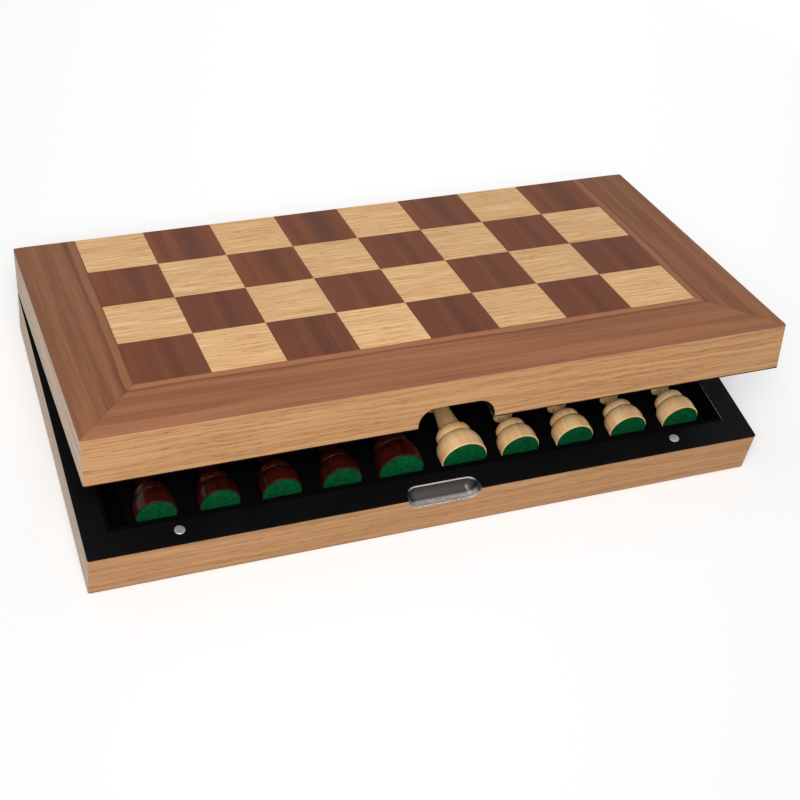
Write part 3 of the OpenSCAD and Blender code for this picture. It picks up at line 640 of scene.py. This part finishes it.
def king(r, h, felt_t):
    """A flared crown with a low dome and a cross."""
    z, crown_r, cross_h, cross_t, cross_w = h - HEAD["king"], 8.2, 8.5, 2.4, 6.2
    cup, crown, top = z + COLLAR, h - cross_h - 0.35 * crown_r, h - cross_h
    bm = spun(foot(r, felt_t) + stem(r, 0.56 * crown_r, z) + collar(1.1 * crown_r, z)
              + bend((0.60 * crown_r, cup + 0.3), (0.70 * crown_r, (cup + crown) / 2),
                     (crown_r, crown - 0.6), 8)
              + bead(0.94 * crown_r, crown, 0.06 * crown_r, 0.6, -60, 90, 4)
              + bend((0.92 * crown_r, crown + 0.7), (0.7 * crown_r, top), (0.34 * crown_r, top), 6)
              + bead(0.2 * crown_r, top + 0.4, 0.14 * crown_r, 0.5, -80, 90, 4) + [(0, top + 0.9)])
    block(bm, (cross_t, cross_t, cross_h), (0, 0, top + cross_h / 2), CROSS_EASE)
    block(bm, (cross_w, cross_t, 1.2 * cross_t), (0, 0, h - cross_h / 3 - 0.6 * cross_t),
          CROSS_EASE)
    return bm


def queen(r, h, felt_t):
    """A flared crown with points, and a ball in its dish."""
    z, crown_r, ball, points = h - HEAD["queen"], 8.4, 2.6, 8
    cup, crown = z + COLLAR, h - 2.6 * ball
    dish = crown - 0.6 * ball
    bm = spun(foot(r, felt_t) + stem(r, 0.52 * crown_r, z) + collar(1.05 * crown_r, z)
              + bend((0.56 * crown_r, cup + 0.3), (0.62 * crown_r, (cup + crown) / 2),
                     (crown_r, crown - 0.4), 10)
              + bead(0.93 * crown_r, crown - 0.3, 0.07 * crown_r, 0.4, -10, 90, 4)
              + bend((0.84 * crown_r, crown), (0.6 * crown_r, dish), (0.5 * crown_r, dish), 5)
              + bend((0.5 * crown_r, dish), (0.46 * crown_r, crown), (0.26 * crown_r, crown), 6)
              + bead(0, h - ball, ball, ball, -50, 90, 8))
    for v in bm.verts:
        out = math.hypot(v.co.x, v.co.y)
        if v.co.z > crown - 2.4 and out > 0.8 * crown_r:
            wave = 0.5 - 0.5 * math.cos(points * math.atan2(v.co.y, v.co.x))
            v.co.z -= 1.9 * wave * (out / crown_r - 0.8) / 0.2
    return bm


def bishop(r, h, felt_t):
    """A mitre with a slanted cut and a ball on top."""
    z, mitre_r, ball, cut = h - HEAD["bishop"], 6.2, 1.9, 1.2
    low, high = z + COLLAR, HEAD["bishop"] - COLLAR - 1.7 * ball
    bm = spun(foot(r, felt_t) + stem(r, 0.63 * mitre_r, z) + collar(1.2 * mitre_r, z)
              + bend((0.74 * mitre_r, low + 0.2), (1.12 * mitre_r, low + 0.3 * high),
                     (0.90 * mitre_r, low + 0.6 * high), 8)
              + bend((0.90 * mitre_r, low + 0.6 * high), (0.66 * mitre_r, low + 0.9 * high),
                     (0.22 * mitre_r, low + high), 6)
              + bead(0, h - ball, ball, ball, -45, 90, 7))
    tool = bmesh.new()
    block(tool, (2 * mitre_r, 3 * mitre_r, cut), (mitre_r, 0, 0), TOOL_EASE)
    bmesh.ops.rotate(tool, matrix=Matrix.Rotation(math.radians(-30), 3, "Y"), verts=tool.verts)
    bmesh.ops.translate(tool, vec=(0.25 * mitre_r, 0, low + 0.46 * high), verts=tool.verts)
    return carved(bm, tool)


def rook(r, h, felt_t):
    """A turret with four battlements, cut by two crossing slots."""
    z, turret_r, rampart, depth, gap = h - HEAD["rook"], 8.8, 3.0, 3.2, 2.8
    low, floor = z + COLLAR, h - depth
    bm = spun(foot(r, felt_t) + stem(r, 0.72 * turret_r, z) + collar(0.95 * turret_r, z)
              + bend((0.76 * turret_r, low + 0.2), (0.80 * turret_r, low + 1.8),
                     (turret_r, low + 2.4), 5)
              + [(turret_r, h - 0.3), (turret_r - 0.3, h), (turret_r - rampart + 0.3, h),
                 (turret_r - rampart, h - 0.3), (turret_r - rampart, floor), (0, floor)])
    for turn in (45, 135):
        tool = bmesh.new()
        block(tool, (3 * turret_r, gap, depth), (0, 0, h - 0.25 * depth), TOOL_EASE)
        bmesh.ops.rotate(tool, matrix=Matrix.Rotation(math.radians(turn), 3, "Z"),
                         verts=tool.verts)
        bm = carved(bm, tool)
    return bm


def pawn(r, h, felt_t):
    """A ball on one ring."""
    head = h - PAWN_HEAD_R
    ring = 0.32 * PAWN_HEAD_R
    z = head - PAWN_HEAD_R - 0.45 * ring
    return spun(foot(r, felt_t) + stem(r, 0.56 * PAWN_HEAD_R, z)
                + bead(0.86 * PAWN_HEAD_R, z + 0.5 * ring, 0.19 * PAWN_HEAD_R, 0.42 * ring)
                + bead(0, head, PAWN_HEAD_R, PAWN_HEAD_R, -50, 90, 16))


# Side outline of the horse's head, in shares of the base radius and of the height above the foot
HORSE = [(-0.6, 0), (0.5, 0), (0.58, 0.1), (0.42, 0.22), (0.3, 0.34), (0.34, 0.42), (0.62, 0.4),
         (0.86, 0.45), (0.9, 0.56), (0.74, 0.66), (0.44, 0.8), (0.3, 0.92), (0.12, 1),
         (0.04, 0.9), (-0.24, 0.88), (-0.5, 0.72), (-0.66, 0.5), (-0.7, 0.24)]
HORSE_T = 9.0
HORSE_SUNK = 0.19                   # how deep the neck is set into the foot, in base radii


def knight(r, h, felt_t):
    """A horse's head, cut out and rounded, set on a turned foot."""
    bm = spun(foot(r, felt_t) + [(0, FOOT_H * r)])
    low = (FOOT_H - HORSE_SUNK) * r
    outline = [bm.verts.new((x * r, -HORSE_T / 2, low + z * (h - low))) for x, z in HORSE]
    side = bm.faces.new(outline)
    made = bmesh.ops.extrude_face_region(bm, geom=[side])["geom"]
    far = [v for v in made if isinstance(v, bmesh.types.BMVert)]
    bmesh.ops.translate(bm, vec=(0, HORSE_T, 0), verts=far)
    rims = [e for e in bm.edges if e.verts[0] in outline + far
            and abs(e.verts[0].co.y - e.verts[1].co.y) < 0.01]
    rounded(bm, rims, HORSE_EASE, segments=3)
    bmesh.ops.recalc_face_normals(bm, faces=bm.faces)
    for side_y in (-1, 1):
        eye = bmesh.ops.create_uvsphere(bm, u_segments=12, v_segments=8, radius=0.9)["verts"]
        bmesh.ops.translate(bm, vec=(0.36 * r, side_y * (HORSE_T / 2 - 0.3),
                                     low + 0.68 * (h - low)), verts=eye)
    return bm


def carved(bm, tool):
    """bm with the tool's solid taken out of it."""
    made = []
    for source in (bm, tool):
        mesh = bpy.data.meshes.new("blank")
        source.to_mesh(mesh)
        source.free()
        blank = bpy.data.objects.new("blank", mesh)
        bpy.context.scene.collection.objects.link(blank)
        made.append(blank)
    cut = made[0].modifiers.new("cut", "BOOLEAN")
    cut.operation, cut.object, cut.solver = "DIFFERENCE", made[1], "EXACT"
    shape = made[0].evaluated_get(bpy.context.evaluated_depsgraph_get())
    result = bmesh.new()
    result.from_mesh(shape.to_mesh())
    shape.to_mesh_clear()
    for blank in made:
        mesh = blank.data
        bpy.data.objects.remove(blank)
        bpy.data.meshes.remove(mesh)
    return result


# The nodes of one side's men, and what turns each
MAKERS = {"king": king, "queen": queen, "bishop_inner": bishop, "bishop_outer": bishop,
          "knight_inner": knight, "knight_outer": knight, "rook_inner": rook, "rook_outer": rook,
          "pawns": pawn}


def felt_thickness():
    """Thickness of one felt disc, which lies across Y."""
    bm = merged_copy("dark_felts")
    low, high = island_boxes(bm)[0]
    bm.free()
    return high.y - low.y


def lying_man(maker, low, high, felt_t, draws):
    """One man, laid on its side between the corners of its CAD solid, which leave out its felt."""
    r = (high.x - low.x) / 2 / MM
    bm = maker(r, (high.y - low.y + felt_t) / MM, felt_t / MM)
    lay_grain(bm, bm.verts, lambda p: (p.z * MM, p.x * MM, p.y * MM), draws.uniform(0, 9),
              draws.uniform(-1, 1))
    stand = Vector(((low.x + high.x) / 2, low.y - felt_t, high.z - r * MM))
    place = (Matrix.Translation(stand) @ Matrix.Rotation(math.radians(-90), 4, "X")
             @ Matrix.Scale(MM, 4))
    bmesh.ops.transform(bm, matrix=place, verts=bm.verts)
    return bm


def men(side, finish, draws):
    """Every man of one side, each where its CAD solid lies."""
    felt_t = felt_thickness()
    for name, maker in MAKERS.items():
        node = f"{side}_{name}"
        solids = merged_copy(node)
        everyone = bmesh.new()
        for low, high in island_boxes(solids):
            man = lying_man(maker, low, high, felt_t, draws)
            joined = bpy.data.meshes.new("joined")
            man.to_mesh(joined)
            man.free()
            everyone.from_mesh(joined)
            bpy.data.meshes.remove(joined)
        solids.free()
        finished(f"{side}_turned_{name}", everyone, finish, "base", node)


def felts(side):
    """The felt discs under one side's men."""
    node = f"{side}_felts"
    bm = merged_copy(node)
    ease(bm, FELT_EASE)
    finished(f"{side}_felt_discs", bm, GREEN_FELT, "base", node)


# ------------------------------------------------------------------ hinges

def hinge(side):
    """One butt hinge: a leaf in each half, and the pin."""
    for half in HALVES:
        node = f"{side}_hinge_{half}_leaf"
        bm = merged_copy(node, half)
        ease(bm, LEAF_EASE)
        finished(f"{side}_{half}_hinge_leaf", bm, BRASS, half, node)
    bm = merged_copy(f"{side}_hinge_pin")
    ease(bm, PIN_EASE)
    finished(f"{side}_pin", bm, STEEL, "base", f"{side}_hinge_pin")


def hinge_screws(half, draws):
    """Countersunk screws, each with a slot turned its own way."""
    node = f"{half}_hinge_screws"
    bm = merged_copy(node, half)
    for low, high in island_boxes(bm):
        width = high.x - low.x
        tool = bmesh.new()
        block(tool, (1.2 * width, 0.17 * width, 0.2 * width), (0, 0, 0), 0.01 * width)
        bmesh.ops.rotate(tool, matrix=Matrix.Rotation(draws.uniform(0, math.pi), 3, "Z"),
                         verts=tool.verts)
        bmesh.ops.translate(tool, vec=((low.x + high.x) / 2, (low.y + high.y) / 2, high.z),
                            verts=tool.verts)
        bm = carved(bm, tool)
    finished(f"{half}_slotted_screws", bm, SCREW_BRASS, half, node, smooth=False)


# ------------------------------------------------------------------ the studio

CAMERA_PLACE = (-0.2885, -0.5859, 0.6860)
LOOK_DOWN, LOOK_RIGHT, ROLL = 46.41, 27.26, 11.03       # degrees
LENS_MM, SENSOR_MM = 69.71, 36.0
ROOM_LIGHT = 0.20
FLOOR_SIZE, FLOOR_WHITE = 6.0, 0.80
# What brings the unshadowed floor to white: at the middle, per metre along X and Y, and per
# square metre outwards
FLOOR_LIFT, LIFT_PER_X, LIFT_PER_Y, LIFT_BEND = 0.277, 0.269, 0.499, -0.219
# Between these distances the floor fades into the white of the room
FADE_START, FADE_END = 0.3, 0.8


def camera():
    """Looks down on the box from its front left, rolled a little."""
    place = Vector(CAMERA_PLACE)
    down, turn, roll = (math.radians(a) for a in (LOOK_DOWN, LOOK_RIGHT, ROLL))
    ahead = Vector((math.cos(down) * math.sin(turn), math.cos(down) * math.cos(turn),
                    -math.sin(down)))
    level = Vector((math.cos(turn), -math.sin(turn), 0))
    above = level.cross(ahead)
    right = math.cos(roll) * level + math.sin(roll) * above
    up = right.cross(ahead)
    data = bpy.data.cameras.new("camera")
    data.sensor_width, data.lens = SENSOR_MM, LENS_MM
    data.clip_start, data.clip_end = 0.01, 20
    seat = bpy.data.objects.new("camera", data)
    bpy.context.scene.collection.objects.link(seat)
    turned = Matrix((right, up, -ahead)).transposed().to_4x4()
    seat.matrix_world = Matrix.Translation(place) @ turned
    bpy.context.scene.camera = seat


def lamp(name, place, target, size, power):
    """A square softbox at a place, turned to its target."""
    data = bpy.data.lights.new(name, "AREA")
    data.shape, data.size, data.energy = "SQUARE", size, power
    holder = bpy.data.objects.new(name, data)
    bpy.context.scene.collection.objects.link(holder)
    direction = Vector(target) - Vector(place)
    holder.matrix_world = (Matrix.Translation(place)
                           @ direction.to_track_quat("-Z", "Y").to_matrix().to_4x4())


def seen_directly(t):
    """1 for what the camera, gloss and glass see, and 0 for what lights the object."""
    path = t.add("ShaderNodeLightPath").outputs
    return t.maths("MAXIMUM", t.maths("MAXIMUM", path["Is Camera Ray"], path["Is Glossy Ray"]),
                   path["Is Transmission Ray"])


def floor():
    """White sweep: it takes the object's shadow, and is lifted to white where it is seen, more
    where the lamps leave it dimmer."""
    bm = bmesh.new()
    bmesh.ops.create_grid(bm, x_segments=1, y_segments=1, size=FLOOR_SIZE)
    mesh = bpy.data.meshes.new("floor")
    bm.to_mesh(mesh)
    bm.free()
    slab = bpy.data.objects.new("floor", mesh)
    bpy.context.scene.collection.objects.link(slab)
    t = Tree("white sweep")
    white = (FLOOR_WHITE, FLOOR_WHITE, FLOOR_WHITE, 1)
    cloth = t.add("ShaderNodeBsdfDiffuse", {"Color": white}).outputs[0]
    place = t.object_place()
    x, y, _ = t.add("ShaderNodeSeparateXYZ", {0: place}).outputs
    away = t.add("ShaderNodeVectorMath", {0: place}, operation="LENGTH").outputs["Value"]
    bend = t.maths("MULTIPLY_ADD", t.maths("MULTIPLY", away, away), LIFT_BEND, FLOOR_LIFT)
    near = t.maths("MULTIPLY_ADD", x, LIFT_PER_X, t.maths("MULTIPLY_ADD", y, LIFT_PER_Y, bend))
    lift = t.maths("MAXIMUM", near, t.grade(away, FADE_START, FADE_END))
    lift = t.maths("MULTIPLY", seen_directly(t), lift)
    glow = t.add("ShaderNodeEmission", {"Color": (1, 1, 1, 1), "Strength": lift}).outputs[0]
    both = t.add("ShaderNodeAddShader", {0: cloth, 1: glow}).outputs[0]
    t.add("ShaderNodeOutputMaterial", {"Surface": both})
    mesh.materials.append(t.material)


def surroundings():
    """White room: full white where it is seen, dimmer where it lights the object."""
    t = Tree("studio", bpy.data.worlds)
    strength = t.maths("MULTIPLY_ADD", seen_directly(t), 1.0 - ROOM_LIGHT, ROOM_LIGHT)
    white = t.add("ShaderNodeBackground", {"Color": (1, 1, 1, 1), "Strength": strength})
    t.add("ShaderNodeOutputWorld", {"Surface": white.outputs[0]})
    bpy.context.scene.world = t.material


# ------------------------------------------------------------------ putting it together

draws = random.Random(11)
camera()
dress_half("base", 0.0, draws)
dress_half("lid", 23.0, draws)
insert()
finger_cup()
keep("lid_lining", LINING_BLACK)
for side in ("left", "right"):
    hinge(side)
men("dark", LACQUER, draws)
men("light", BOXWOOD, draws)
felts("dark")
felts("light")
for half in HALVES:
    hinge_screws(half, draws)
floor()
surroundings()
lamp("top softbox", place=(-0.2, 0.1, 1.6), target=(0, 0, 0), size=1.3, power=6.3)
lamp("front softbox", place=(-0.35, -0.75, 1.0), target=(0, -0.06, 0.04), size=0.6, power=12.2)
bpy.context.scene.view_settings.view_transform = "Standard"
